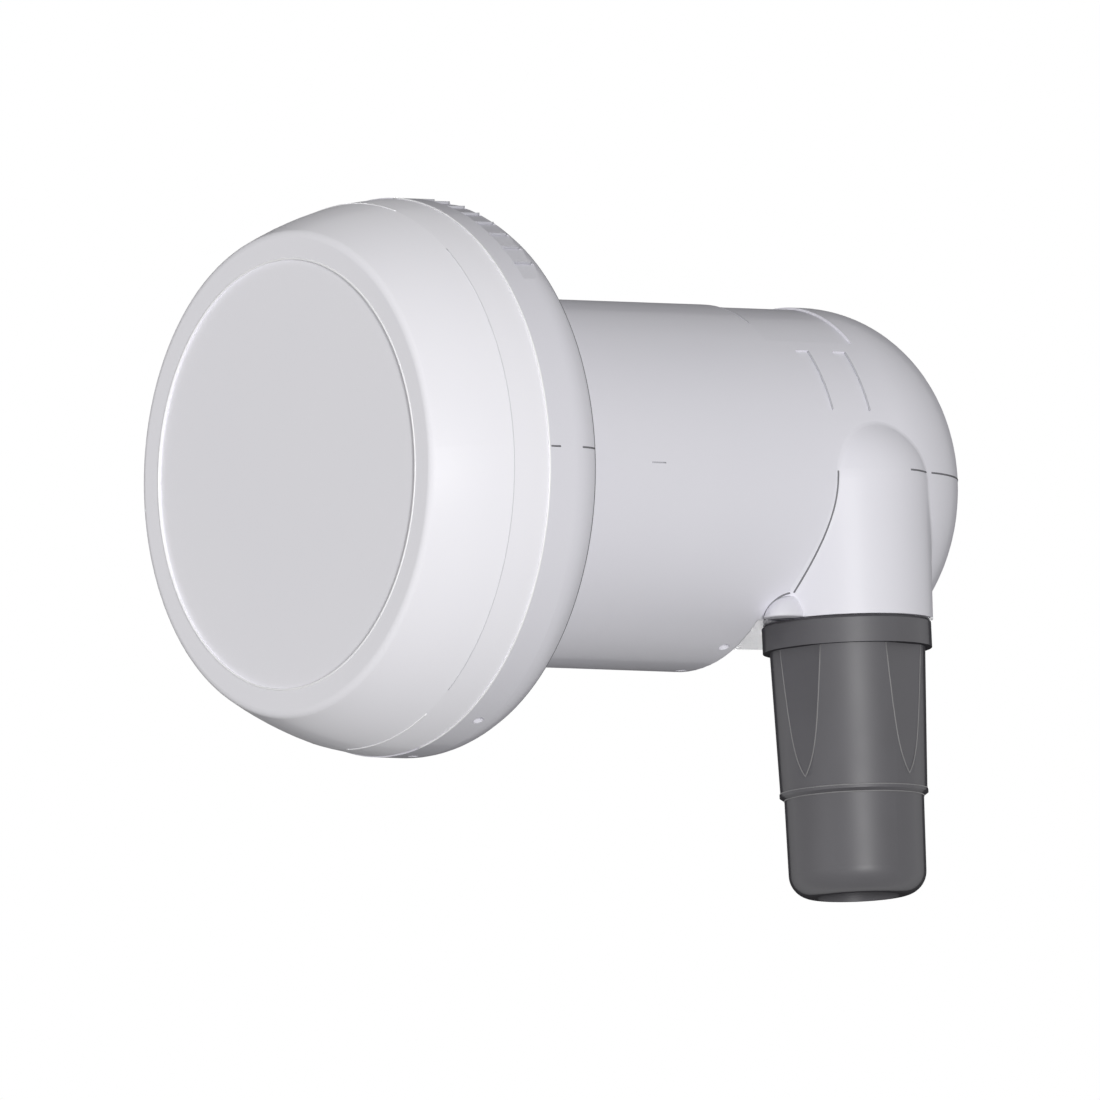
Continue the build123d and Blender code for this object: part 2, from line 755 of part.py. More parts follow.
with BuildPart() as socket_insulator:
    insulator_foot = thread_foot + insulator_inset
    barrel_top = thread_foot + contact_inset + contact_barrel_length
    with BuildSketch(connector_plane):
        with BuildLine():
            Polyline(
                (contact_radius + running_clearance, -pocket_half),
                (insulator_neck_radius, -pocket_half),
                (insulator_neck_radius, shank_top),
                (socket_bore_radius - running_clearance, shank_top),
                (socket_bore_radius - running_clearance, insulator_foot),
                (contact_barrel_radius + running_clearance, insulator_foot),
                (contact_barrel_radius + running_clearance, barrel_top + running_clearance),
                (contact_radius + running_clearance, barrel_top + running_clearance),
                close=True,
            )
        make_face()
    revolve(axis=connector_axis)
save(socket_insulator, "socket_insulator")

# The centre contact: a split barrel below and a pin that lies on the board above
with BuildPart() as socket_contact:
    with BuildSketch(upward.offset(thread_foot + contact_inset)):
        Circle(contact_barrel_radius)
        Circle(contact_radius, mode=Mode.SUBTRACT)
    extrude(amount=contact_barrel_length)
    with BuildSketch(upward.offset(barrel_top)):
        Circle(contact_barrel_radius)
    extrude(amount=-contact_barrel_radius)
    with BuildSketch(upward.offset(barrel_top)):
        Circle(contact_radius)
    extrude(amount=contact_on_board - pocket_half - barrel_top)
save(socket_contact, "socket_contact")

with BuildPart() as socket_seal:
    with BuildSketch(upward.offset(shelf_floor_z + seat_gap)):
        Circle(socket_flange_radius)
        Circle(socket_land_radius + slip_clearance, mode=Mode.SUBTRACT)
    extrude(amount=socket_seal_height)
save(socket_seal, "socket_seal")

# The rubber boot that is pushed over the socket and the cable's plug
with BuildPart() as weather_boot:
    collar_top = shelf_z - slip_clearance
    collar_foot = collar_top - boot_collar_height
    sleeve_foot = collar_foot - boot_sleeve_length
    bead_foot = sleeve_foot - boot_bead_height
    barrel_top_z = bead_foot - boot_step_height
    boot_foot = barrel_top_z - boot_barrel_length
    bead_radius = boot_sleeve_foot_radius + boot_bead_proud
    boot_bore = boss_spigot_radius + running_clearance
    with BuildSketch(connector_plane):
        with BuildLine():
            Polyline(
                (0, collar_top),
                (boot_collar_radius, collar_top),
                (boot_collar_radius, collar_foot),
                (boot_sleeve_top_radius, collar_foot),
                (boot_sleeve_foot_radius, sleeve_foot),
                (bead_radius, sleeve_foot),
                (bead_radius, bead_foot),
                (boot_barrel_radius, barrel_top_z),
                (boot_barrel_foot_radius, boot_foot),
                (0, boot_foot),
                close=True,
            )
        make_face()
    revolve(axis=connector_axis)
    round_edges = weather_boot.edges().filter_by(GeomType.CIRCLE).group_by(Axis.Z)
    fillet(round_edges[0], boot_foot_fillet)
    round_edges = weather_boot.edges().filter_by(GeomType.CIRCLE).group_by(Axis.Z)
    chamfer(round_edges[-1], boot_collar_chamfer)
    flat_top = boot_sleeve_top_radius * cos(radians(grip_flat_half_angle))
    for index in range(grip_flat_count):
        turn = radians(grip_flat_turn + index * 360 / grip_flat_count)
        out = Vector(sin(turn), -cos(turn), 0)
        with BuildSketch(Plane(origin=upward.origin, x_dir=out, z_dir=out.cross(Vector(0, 0, 1)))):
            with BuildLine():
                Polyline(
                    (flat_top, collar_foot),
                    (boot_collar_radius, collar_foot),
                    (boot_collar_radius, sleeve_foot + grip_flat_tip),
                    (boot_sleeve_foot_radius, sleeve_foot + grip_flat_tip),
                    close=True,
                )
            make_face()
        extrude(amount=boot_collar_radius, both=True, mode=Mode.SUBTRACT)
    with BuildSketch(upward.offset(collar_top)):
        Circle(boot_bore)
    extrude(amount=barrel_top_z - collar_top, mode=Mode.SUBTRACT)
    with BuildSketch(upward.offset(barrel_top_z)):
        Circle(boot_barrel_bore_radius)
    extrude(amount=boot_foot + boot_floor - barrel_top_z, mode=Mode.SUBTRACT)
    with BuildSketch(upward.offset(boot_foot)):
        Circle(cable_hole_radius)
    extrude(amount=boot_floor, mode=Mode.SUBTRACT)
save(weather_boot, "weather_boot")
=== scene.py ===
# %% [markdown]
# A satellite LNB, dressed and lit.
# The real thing is a small outdoor receiver: a pale moulded housing on a 40 mm neck, a domed
# front cap that microwaves pass through, and one coaxial socket that points down under a
# rubber boot. The solids come from the frame, already in place and in metres. Everything here
# adds finish to them: materials, the screw thread, the small lines where mouldings meet, light
# and the camera.

import bpy
import numpy as np
from mathutils import Matrix, Vector


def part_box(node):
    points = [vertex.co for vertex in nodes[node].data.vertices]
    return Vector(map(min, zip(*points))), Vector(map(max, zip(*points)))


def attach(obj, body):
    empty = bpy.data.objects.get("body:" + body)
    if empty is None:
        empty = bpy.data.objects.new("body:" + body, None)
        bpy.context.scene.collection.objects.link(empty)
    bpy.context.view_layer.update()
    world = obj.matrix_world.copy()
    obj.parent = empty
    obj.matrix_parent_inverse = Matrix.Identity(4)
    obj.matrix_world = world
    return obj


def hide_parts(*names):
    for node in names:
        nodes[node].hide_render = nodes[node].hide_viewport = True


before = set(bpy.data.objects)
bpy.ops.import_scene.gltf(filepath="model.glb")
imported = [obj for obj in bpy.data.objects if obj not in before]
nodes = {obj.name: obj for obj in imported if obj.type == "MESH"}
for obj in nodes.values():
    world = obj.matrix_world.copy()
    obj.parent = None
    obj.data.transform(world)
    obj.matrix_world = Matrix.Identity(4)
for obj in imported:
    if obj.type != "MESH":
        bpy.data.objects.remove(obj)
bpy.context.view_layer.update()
mm = 0.001

# %% [markdown]
# The picture is drawn in parallel projection, as product drawings are: circles that face the
# same way have the same shape wherever they stand. A perspective lens from far off would come
# close, but an orthographic camera gives it exactly. It stands low in front, on the socket's
# side, looks slightly up and is rolled a little, and its width is the real width of the view.

# %% Camera
view_azimuth = 53.26
view_elevation = -6.2
view_roll = 2.6
view_width = 119.435 * mm
disc_centre = Vector((0, -37.0 * mm, 0))
aim_right = 28.597 * mm
aim_down = 8.235 * mm
camera_distance = 300 * mm
nearest_shown = 1 * mm
farthest_shown = 10.0


def view_axes(azimuth, elevation, roll):
    """Right, up and backward axes of a camera that stands at an azimuth and an elevation.

    Azimuth 0 looks along +Y and turns towards +X; the roll turns the camera clockwise, which
    turns the picture counter-clockwise.
    """
    turn, rise, tilt = np.radians((azimuth, elevation, roll))
    back = Vector((np.sin(turn) * np.cos(rise), -np.cos(turn) * np.cos(rise), np.sin(rise)))
    level = Vector((np.cos(turn), np.sin(turn), 0))
    upright = back.cross(level)
    right = level * np.cos(tilt) - upright * np.sin(tilt)
    up = level * np.sin(tilt) + upright * np.cos(tilt)
    return right, up, back


right, up, back = view_axes(view_azimuth, view_elevation, view_roll)
aim = disc_centre + right * aim_right - up * aim_down
lens = bpy.data.cameras.new("camera")
lens.type = "ORTHO"
lens.ortho_scale = view_width
lens.clip_start = nearest_shown
lens.clip_end = farthest_shown
camera = bpy.data.objects.new("camera", lens)
camera.matrix_world = Matrix.LocRotScale(
    aim + back * camera_distance, Matrix((right, up, back)).transposed().to_quaternion(), None
)
bpy.context.collection.objects.link(camera)
bpy.context.scene.camera = camera
bpy.context.scene.view_settings.view_transform = "Standard"
print("camera right", [round(part, 4) for part in right], "up", [round(part, 4) for part in up])

# %% [markdown]
# The light of the picture is close to a plain headlight: what faces the viewer is brightest,
# what turns away falls off evenly, and there is no cast shadow. The key is a sun lamp a little
# to the right of the camera, with a 12 degree disc that keeps its highlights broad. A weak fill
# comes from far left and casts no shadow, so that the cap's ring leaves none on the neck. A third
# lamp stands behind. It lights nothing that the camera sees, but the rear gets its share of
# light when the object is looked at from there.
# Sun strength is in watts per square metre, and a white surface returns it over pi.


# %% Lamps
def add_sun(name, towards, strength, spread_degrees):
    """A sun lamp whose light comes from the direction `towards`, with a soft edge."""
    lamp = bpy.data.lights.new(name, "SUN")
    lamp.energy = strength
    lamp.angle = np.radians(spread_degrees)
    sun = bpy.data.objects.new(name, lamp)
    sun.rotation_mode = "QUATERNION"
    sun.rotation_quaternion = towards.to_track_quat("Z", "Y")
    bpy.context.collection.objects.link(sun)
    return sun


key_towards = (back + 0.231 * right + 0.057 * up).normalized()
fill_towards = (back - 1.351 * right + 0.047 * up).normalized()
key_strength, key_spread = 0.706 * np.pi, 12
fill_strength, fill_spread = 0.198 * np.pi, 40
rear_strength, rear_spread = 0.55 * np.pi, 30
add_sun("key", key_towards, key_strength, key_spread)
add_sun("fill", fill_towards, fill_strength, fill_spread).data.use_shadow = False
add_sun("rear", -back, rear_strength, rear_spread)
print("key comes from", [round(part, 3) for part in key_towards])

# %% [markdown]
# A material is a small tree of nodes. Two helpers keep such trees readable. One turns the hex
# colours that a paint chart or a picture gives into the linear values that a shader needs, and
# the other adds one node with its settings and its links in a single call.

# %% Colours and nodes


def linear(hex_colour):
    """An sRGB hex colour such as 0xEDEDF0 as linear red, green, blue and an alpha of 1."""
    coded = np.array([hex_colour >> 16, hex_colour >> 8 & 255, hex_colour & 255]) / 255
    plain = np.where(coded <= 0.04045, coded / 12.92, ((coded + 0.055) / 1.055) ** 2.4)
    return (*(float(part) for part in plain), 1.0)


def add_node(tree, kind, settings=None, **inputs):
    """Add a shader node; `inputs` are values, or (node, output) pairs to link from."""
    node = tree.nodes.new(kind)
    for name, value in (settings or {}).items():
        setattr(node, name, value)
    for name, value in inputs.items():
        socket = node.inputs[int(name[1:])] if name[1:].isdigit() else node.inputs[name.replace("_", " ")]
        if isinstance(value, tuple) and isinstance(value[0], bpy.types.Node):
            tree.links.new(value[0].outputs[value[1]], socket)
        else:
            socket.default_value = value
    return node


# %% [markdown]
# The ground of the picture is pure white. The world is white only for rays that the camera,
# a mirror or glass sends out, and a dim even sky for the light that falls on the object.
# Light Path tells the two apart, so that the white ground adds no light to the pale plastic.

# %% White ground and soft sky
sky_strength = 0.17
world = bpy.data.worlds.new("studio")
bpy.context.scene.world = world
world.use_nodes = True
tree = world.node_tree
tree.nodes.clear()
path = add_node(tree, "ShaderNodeLightPath")
seen = add_node(
    tree,
    "ShaderNodeMath",
    {"operation": "MAXIMUM"},
    _0=(path, "Is Camera Ray"),
    _1=(path, "Is Transmission Ray"),
)
shown = add_node(tree, "ShaderNodeMath", {"operation": "MAXIMUM"}, _0=(seen, 0), _1=(path, "Is Glossy Ray"))
strength = add_node(
    tree,
    "ShaderNodeMapRange",
    Value=(shown, 0),
    To_Min=sky_strength,
    To_Max=1.0,
)
sky = add_node(tree, "ShaderNodeBackground", Color=(1, 1, 1, 1), Strength=(strength, 0))
add_node(tree, "ShaderNodeOutputWorld", Surface=(sky, 0))

# %% [markdown]
# Nearly every finish on this part follows one recipe, because nearly every piece is moulded or
# cast: a base colour that drifts a little over some millimetres, a gloss that drifts with it,
# and a fine grain left by the tool. The recipe is one function, and each material calls it with
# its own values. All patterns are noise on Object coordinates, which are metres here, so a
# grain of 0.2 mm is a noise scale of one over 0.0002. An image would need a file and would
# slide over seams; noise in space does neither.


# %% The recipe for a moulded or cast surface
def blank(name):
    """A new material with an empty node tree, and that tree."""
    material = bpy.data.materials.new(name)
    material.use_nodes = True
    material.node_tree.nodes.clear()
    return material, material.node_tree


def moulded(name, colours, drift_mm, gloss, grain_mm, grain_height_mm, **shader):
    """A material whose colour and roughness drift over `drift_mm` and whose grain is `grain_mm`.

    colours and gloss are the two ends between which slow noise moves the base colour and the
    roughness. The grain is fine noise used as height, `grain_height_mm` from pit to peak.
    """
    material, tree = blank(name)
    place = add_node(tree, "ShaderNodeTexCoord")
    slow = add_node(
        tree,
        "ShaderNodeTexNoise",
        Vector=(place, "Object"),
        Scale=1 / (drift_mm * mm),
        Detail=3.0,
        Roughness=0.5,
    )
    tone = add_node(
        tree,
        "ShaderNodeMix",
        {"data_type": "RGBA"},
        _0=(slow, "Fac"),
        _6=linear(colours[0]),
        _7=linear(colours[1]),
    )
    sheen = add_node(
        tree,
        "ShaderNodeMapRange",
        Value=(slow, "Fac"),
        From_Min=0.3,
        From_Max=0.7,
        To_Min=gloss[0],
        To_Max=gloss[1],
    )
    fine = add_node(
        tree,
        "ShaderNodeTexNoise",
        Vector=(place, "Object"),
        Scale=1 / (grain_mm * mm),
        Detail=2.0,
        Roughness=0.6,
    )
    relief = add_node(
        tree,
        "ShaderNodeBump",
        Height=(fine, "Fac"),
        Strength=1.0,
        Distance=grain_height_mm * mm,
    )
    surface = add_node(
        tree,
        "ShaderNodeBsdfPrincipled",
        Base_Color=(tone, 2),
        Roughness=(sheen, 0),
        Normal=(relief, 0),
        **shader,
    )
    add_node(tree, "ShaderNodeOutputMaterial", Surface=(surface, 0))
    return material


def dress(material, *names):
    """Give CAD nodes a material, in every slot that they have."""
    for name in names:
        for place in nodes[name].material_slots:
            place.material = material


# %% [markdown]
# The floor is a wide white disc below the lowest place that the boot reaches. What the camera
# sees of it is mostly its own white, plus the light that falls on it, so that the object still
# leaves a faint shadow there. It sends no light back to the object, and from below it is clear.

# %% Floor
floor_height = -130 * mm
floor_radius = 1.0
floor_sides = 96
floor_glow = 0.84
around = np.linspace(0, 2 * np.pi, floor_sides, endpoint=False)
rim = np.stack((np.cos(around), np.sin(around), np.zeros(floor_sides)), -1) * floor_radius
floor_mesh = bpy.data.meshes.new("floor")
floor_mesh.from_pydata((rim + (0, 0, floor_height)).tolist(), [], [list(range(floor_sides))])
floor = bpy.data.objects.new("floor", floor_mesh)
bpy.context.collection.objects.link(floor)
floor.visible_diffuse = False
floor.visible_shadow = False
floor_paint, tree = blank("floor_matt_paint")
lit = add_node(tree, "ShaderNodeBsdfDiffuse", Color=(0.8, 0.8, 0.8, 1))
glow = add_node(tree, "ShaderNodeEmission", Color=(1, 1, 1, 1), Strength=floor_glow)
both = add_node(tree, "ShaderNodeAddShader", _0=(lit, 0), _1=(glow, 0))
facing = add_node(tree, "ShaderNodeNewGeometry")
clear = add_node(tree, "ShaderNodeBsdfTransparent")
ground = add_node(tree, "ShaderNodeMixShader", _0=(facing, "Backfacing"), _1=(both, 0), _2=(clear, 0))
add_node(tree, "ShaderNodeOutputMaterial", Surface=(ground, 0))
floor_mesh.materials.append(floor_paint)
print("floor at", round(floor_height / mm), "mm")

# %% [markdown]
# The housing is ASA, a weather-proof relative of ABS, injection moulded in a pale cool grey.
# The mould is spark eroded, which leaves an even satin grain of about 0.15 mm. Such a grain
# scatters most of the mirror reflection, so the surface has one broad soft highlight and stays
# dark at its rim: the specular level is well below that of a polished plastic. The cap is
# polypropylene, a shade whiter and smoother, because it must let microwaves through and shed
# water.

# %% Plastics
grained_level = 0.2
housing_asa = moulded(
    "housing_asa_moulded",
    colours=(0xE4E3EA, 0xE7E6EC),
    drift_mm=14,
    gloss=(0.4, 0.44),
    grain_mm=0.16,
    grain_height_mm=0.0025,
    Specular_IOR_Level=grained_level,
)
cap_polypropylene = moulded(
    "cap_polypropylene_moulded",
    colours=(0xF2F1F6, 0xF4F3F7),
    drift_mm=18,
    gloss=(0.38, 0.42),
    grain_mm=0.2,
    grain_height_mm=0.0015,
    Specular_IOR_Level=grained_level,
    Diffuse_Roughness=0.18,
)
insulator_ptfe = moulded(
    "insulator_ptfe_turned",
    colours=(0xEEEEEA, 0xF4F4F1),
    drift_mm=2,
    gloss=(0.3, 0.42),
    grain_mm=0.08,
    grain_height_mm=0.001,
    Subsurface_Weight=0.15,
    Subsurface_Scale=0.4 * mm,
)
dress(housing_asa, "upper_housing", "lower_housing")
dress(cap_polypropylene, "feed_cap")
dress(insulator_ptfe, "probe_sleeves", "socket_insulator")
print("plastics:", housing_asa.name, cap_polypropylene.name, insulator_ptfe.name)

# %% [markdown]
# The boot is EPDM rubber, filled with soot and let down to a dark grey. Moulded rubber is dull
# with a waxy sheen, and its colour blooms lighter in soft patches of some millimetres. The
# seals inside are plain black silicone.

# %% Rubbers
rubber_level = 0.4
boot_epdm = moulded(
    "boot_epdm_moulded",
    colours=(0x545356, 0x5A595D),
    drift_mm=5,
    gloss=(0.45, 0.5),
    grain_mm=0.12,
    grain_height_mm=0.003,
    Specular_IOR_Level=rubber_level,
)
seal_silicone = moulded(
    "seal_silicone_moulded",
    colours=(0x161616, 0x1D1D1D),
    drift_mm=3,
    gloss=(0.45, 0.6),
    grain_mm=0.1,
    grain_height_mm=0.002,
)
dress(boot_epdm, "weather_boot")
dress(seal_silicone, "cap_seal", "cover_gasket", "socket_seal")
print("rubbers:", boot_epdm.name, seal_silicone.name)

# %% [markdown]
# A polished plastic mirrors its surroundings wherever it turns away from the viewer, and would
# melt into the white ground there. In the picture the outlines stay dark. So the specular level
# falls to nothing as the surface turns away, which Layer Weight measures. The grain of these
# surfaces does something like it, but how far the fall goes is given by the two numbers below.
# The flat underside of the rear part is left out. At the picture's angle a corner of it shows
# where the picture has only white ground, because the solid is too low there. With its gloss
# kept it mirrors the ground and stands out less, but that hides a wrong form and is no finish of the real
# part.


# %% Outlines that stay dark
turn_start, turn_end = 0.5, 0.75
underside_height = -16 * mm
straight_down = 0.9999


def soft_rim(material, level, with_underside=False):
    """Let the specular level fall from `level` to nothing where the surface turns away.

    With the underside, faces that point straight down above `underside_height` keep `level`.
    """
    tree = material.node_tree
    surface = next(node for node in tree.nodes if node.type == "BSDF_PRINCIPLED")
    turning = add_node(tree, "ShaderNodeLayerWeight", Blend=0.5)
    shown = add_node(
        tree,
        "ShaderNodeMapRange",
        Value=(turning, "Facing"),
        From_Min=turn_start,
        From_Max=turn_end,
        To_Min=level,
        To_Max=0.0,
    )
    if with_underside:
        shape = add_node(tree, "ShaderNodeNewGeometry")
        down = add_node(
            tree,
            "ShaderNodeVectorMath",
            {"operation": "DOT_PRODUCT"},
            _0=(shape, "Normal"),
            _1=(0, 0, -1),
        )
        spot = add_node(tree, "ShaderNodeSeparateXYZ", _0=(shape, "Position"))
        more = {"operation": "GREATER_THAN"}
        flat = add_node(tree, "ShaderNodeMath", more, _0=(down, "Value"), _1=straight_down)
        above = add_node(tree, "ShaderNodeMath", more, _0=(spot, "Z"), _1=underside_height)
        times = {"operation": "MULTIPLY"}
        there = add_node(tree, "ShaderNodeMath", times, _0=(flat, 0), _1=(above, 0))
        kept = add_node(tree, "ShaderNodeMath", times, _0=(there, 0), _1=level)
        shown = add_node(tree, "ShaderNodeMath", {"operation": "MAXIMUM"}, _0=(shown, 0), _1=(kept, 0))
    tree.links.new(shown.outputs[0], surface.inputs["Specular IOR Level"])


soft_rim(housing_asa, grained_level, with_underside=True)
soft_rim(cap_polypropylene, grained_level)
soft_rim(boot_epdm, rubber_level)
print("rims softened")

# %% [markdown]
# The horn, the chamber and its cover are pressure die-cast zinc-aluminium, left bare. The skin
# of a casting is grey and uneven, with flow marks some millimetres wide and a grain of a few
# tenths. The same recipe serves, with a metal's shader. The screws are zinc plated and the
# socket is nickel plated: the plating follows the steel or brass below, so its grain is finer
# and its gloss higher.

# %% Cast and plated metals
cast_alloy = moulded(
    "horn_zinc_alloy_cast",
    colours=(0xB4B5B8, 0xC9CACC),
    drift_mm=4,
    gloss=(0.34, 0.5),
    grain_mm=0.3,
    grain_height_mm=0.012,
    Metallic=1.0,
)
screw_steel = moulded(
    "screw_steel_zinc_plated",
    colours=(0xBFC1C6, 0xD3D5DA),
    drift_mm=1.5,
    gloss=(0.22, 0.34),
    grain_mm=0.05,
    grain_height_mm=0.001,
    Metallic=1.0,
)
socket_nickel = moulded(
    "socket_brass_nickel_plated",
    colours=(0xCFC9BF, 0xDAD5CC),
    drift_mm=2.5,
    gloss=(0.16, 0.26),
    grain_mm=0.06,
    grain_height_mm=0.0006,
    Metallic=1.0,
)
dress(cast_alloy, "horn_body", "chamber_cover")
dress(screw_steel, "board_screws", "cover_screws")
print("metals:", cast_alloy.name, screw_steel.name, socket_nickel.name)

# %% [markdown]
# The rod, the probes, the contact and the tuning screws are turned from brass bar. A turning
# tool leaves fine rings around the axis, so here the noise is squeezed to 0.04 mm along the
# axis and stretched to millimetres around it. The Mapping node's scale does that in one step.


# %% Turned brass
bar_colours = (0xC9A45C, 0xDDBC78)
bar_gloss = (0.18, 0.34)
mark_height = 0.002


def turned(name, colours, squeeze, gloss):
    """Bare bar metal with tool marks; `squeeze` holds the marks' sizes in mm along X, Y and Z."""
    material, tree = blank(name)
    place = add_node(tree, "ShaderNodeTexCoord")
    stretched = add_node(
        tree,
        "ShaderNodeMapping",
        Vector=(place, "Object"),
        Scale=tuple(1 / (size * mm) for size in squeeze),
    )
    marks = add_node(tree, "ShaderNodeTexNoise", Vector=(stretched, 0), Scale=1.0, Detail=2.0)
    tone = add_node(
        tree,
        "ShaderNodeMix",
        {"data_type": "RGBA"},
        _0=(marks, "Fac"),
        _6=linear(colours[0]),
        _7=linear(colours[1]),
    )
    sheen = add_node(tree, "ShaderNodeMapRange", Value=(marks, "Fac"), To_Min=gloss[0], To_Max=gloss[1])
    cuts = add_node(tree, "ShaderNodeBump", Height=(marks, "Fac"), Strength=1.0, Distance=mark_height * mm)
    surface = add_node(
        tree,
        "ShaderNodeBsdfPrincipled",
        Base_Color=(tone, 2),
        Roughness=(sheen, 0),
        Normal=(cuts, 0),
        Metallic=1.0,
    )
    add_node(tree, "ShaderNodeOutputMaterial", Surface=(surface, 0))
    return material


brass_across = turned("brass_turned_across", bar_colours, (0.04, 3, 3), bar_gloss)
brass_upright = turned("brass_turned_upright", bar_colours, (3, 3, 0.04), bar_gloss)
dress(brass_across, "isolation_rod", "horizontal_probe", "vertical_probe", "tuning_screws")
dress(brass_upright, "socket_contact")
print("brass:", brass_across.name, brass_upright.name)

# %% [markdown]
# The board is a glass laminate under green solder mask, through which the copper shows as
# slightly lighter, raised lines. Voronoi cells by city-block distance give borders at right
# angles, near enough to a microwave board's lines. The chips are black epoxy, matt from the
# tool, and the resonators are sintered ceramic with a sandy grain.

# %% Board, chips and ceramic
track_spacing = 2.4
copper_height = 0.03
board_mask, tree = blank("board_laminate_solder_mask")
place = add_node(tree, "ShaderNodeTexCoord")
tracks = add_node(
    tree,
    "ShaderNodeTexVoronoi",
    {"distance": "CHEBYCHEV"},
    Vector=(place, "Object"),
    Scale=1 / (track_spacing * mm),
)
copper = add_node(
    tree, "ShaderNodeMapRange", Value=(tracks, "Distance"), From_Min=0.40, From_Max=0.44
)
tone = add_node(
    tree,
    "ShaderNodeMix",
    {"data_type": "RGBA"},
    _0=(copper, 0),
    _6=linear(0x1F5B36),
    _7=linear(0x3C8450),
)
step = add_node(tree, "ShaderNodeBump", Height=(copper, 0), Strength=1.0, Distance=copper_height * mm)
surface = add_node(
    tree, "ShaderNodeBsdfPrincipled", Base_Color=(tone, 2), Normal=(step, 0), Roughness=0.3
)
add_node(tree, "ShaderNodeOutputMaterial", Surface=(surface, 0))
chip_epoxy = moulded(
    "chip_epoxy_moulded",
    colours=(0x1A1A1C, 0x232325),
    drift_mm=1,
    gloss=(0.45, 0.6),
    grain_mm=0.05,
    grain_height_mm=0.002,
)
resonator_ceramic = moulded(
    "resonator_ceramic_sintered",
    colours=(0xC9B594, 0xDAC9AB),
    drift_mm=0.8,
    gloss=(0.5, 0.7),
    grain_mm=0.06,
    grain_height_mm=0.003,
)
dress(board_mask, "circuit_board")
dress(chip_epoxy, "input_transistors", "mixer_chip", "voltage_regulator")
dress(resonator_ceramic, "low_band_resonator", "high_band_resonator")
print("electronics dressed")

# %% [markdown]
# All new pieces are grids: rows of points along something, columns around it. One function
# turns such a grid of points into a mesh. Rows that close on themselves need no seam, and rows
# that don't are capped at both ends, so every piece is a closed surface with its faces outward.


# %% Grids to meshes
section_sides = 8


def grid_piece(name, points, material, closed_rows, sharp_degrees=180):
    """A closed mesh from points of shape (rows, columns, 3), each row a closed ring.

    Face k joins ring i to ring i + 1 between columns j and j + 1. Where the rows don't close
    on themselves, the first and the last ring are capped with one face each.
    """
    rows, columns = points.shape[:2]
    i, j = np.meshgrid(np.arange(rows if closed_rows else rows - 1), np.arange(columns), indexing="ij")
    here, there = i * columns, (i + 1) % rows * columns
    side = (j + 1) % columns
    quads = np.stack((here + j, here + side, there + side, there + j), -1).reshape(-1, 4).tolist()
    if not closed_rows:
        quads.append(list(range(columns))[::-1])
        quads.append(list(range((rows - 1) * columns, rows * columns)))
    mesh = bpy.data.meshes.new(name)
    mesh.from_pydata(points.reshape(-1, 3).tolist(), [], quads)
    mesh.update()
    mesh.materials.append(material)
    mesh.shade_smooth()
    mesh.set_sharp_from_angle(angle=np.radians(sharp_degrees))
    piece = bpy.data.objects.new(name, mesh)
    bpy.context.collection.objects.link(piece)
    return piece


def ribbon(name, spine, outward, width_mm, height_mm, material, body="housing", closed=False):
    """A thin closed strip along `spine`, half sunk in the surface whose normals are `outward`.

    Its section is an ellipse. With unit tangent t, outward normal o and c = t x o, ring i is
    p(i, j) = s(i) + height * cos(a(j)) * o(i) + width / 2 * sin(a(j)) * c(i). Points are in mm.
    """
    if closed:
        tangent = np.roll(spine, -1, 0) - np.roll(spine, 1, 0)
    else:
        tangent = np.gradient(spine, axis=0)
    tangent = tangent / np.linalg.norm(tangent, axis=-1, keepdims=True)
    across = np.cross(tangent, outward)
    across /= np.linalg.norm(across, axis=-1, keepdims=True)
    above = np.cross(across, tangent)
    turn = np.linspace(0, 2 * np.pi, section_sides, endpoint=False)[None, :, None]
    section = height_mm * np.cos(turn) * above[:, None] + width_mm / 2 * np.sin(turn) * across[:, None]
    piece = grid_piece(name, (spine[:, None] + section) * mm, material, closed)
    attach(piece, body)
    return piece


print("grid helpers ready")

# %% [markdown]
# The socket is the standard 3/8-32 thread: a 60 degree V, 32 turns to the inch, on the 9.525 mm
# barrel, which the solid leaves plain. The piece is one closed turned surface. Its outline runs
# up the threaded barrel, over the land, the flange and the shank, and down the bore. On the
# barrel the radius dips with the distance from the crest of a helix. Real plugs are cut with a
# small flat on the crest, so the V is clipped by an eighth of the pitch.

# %% Threaded socket
shell_low, shell_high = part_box("socket_shell")
socket_centre = np.array(((shell_low.x + shell_high.x) / 2, (shell_low.y + shell_high.y) / 2, 0))
barrel_radius = 4.7625
land_radius = 4.95
flange_radius = (shell_high.x - shell_low.x) / 2 / mm
shank_radius = 3.9
bore_radius = 3.2
thread_pitch = 25.4 / 32
thread_depth = 0.487
foot_z = shell_low.z / mm
top_z = shell_high.z / mm
land_z = -19.1
flange_z = -13.2
flange_top_z = -11.6
foot_chamfer = 0.5
runout_start, runout_length = 0.3, 0.4
thread_rows = 140
socket_sides = 96
z_rows = np.linspace(foot_z + foot_chamfer, land_z, thread_rows)
outline = np.array(
    [(bore_radius, foot_z), (barrel_radius - foot_chamfer, foot_z)]
    + [(barrel_radius, z) for z in z_rows]
    + [(land_radius, land_z), (land_radius, flange_z), (flange_radius, flange_z)]
    + [(flange_radius, flange_top_z), (shank_radius, flange_top_z), (shank_radius, top_z)]
    + [(bore_radius, top_z)]
)
turn = np.linspace(0, 2 * np.pi, socket_sides, endpoint=False)
z_grid = np.repeat(outline[:, 1:], len(turn), 1)
r_grid = np.repeat(outline[:, :1], len(turn), 1)
phase = (z_grid / thread_pitch - turn / (2 * np.pi)) % 1
crest_flat = 0.125
dip = np.clip(np.minimum(phase, 1 - phase) * 2 - crest_flat, 0, 1 - 2 * crest_flat) / (1 - 2 * crest_flat)
fade = np.clip((land_z - runout_start - z_grid) / runout_length, 0, 1)
threaded = np.zeros(len(outline), bool)
threaded[2 : 2 + thread_rows] = True
r_grid = r_grid - thread_depth * dip * fade * threaded[:, None]
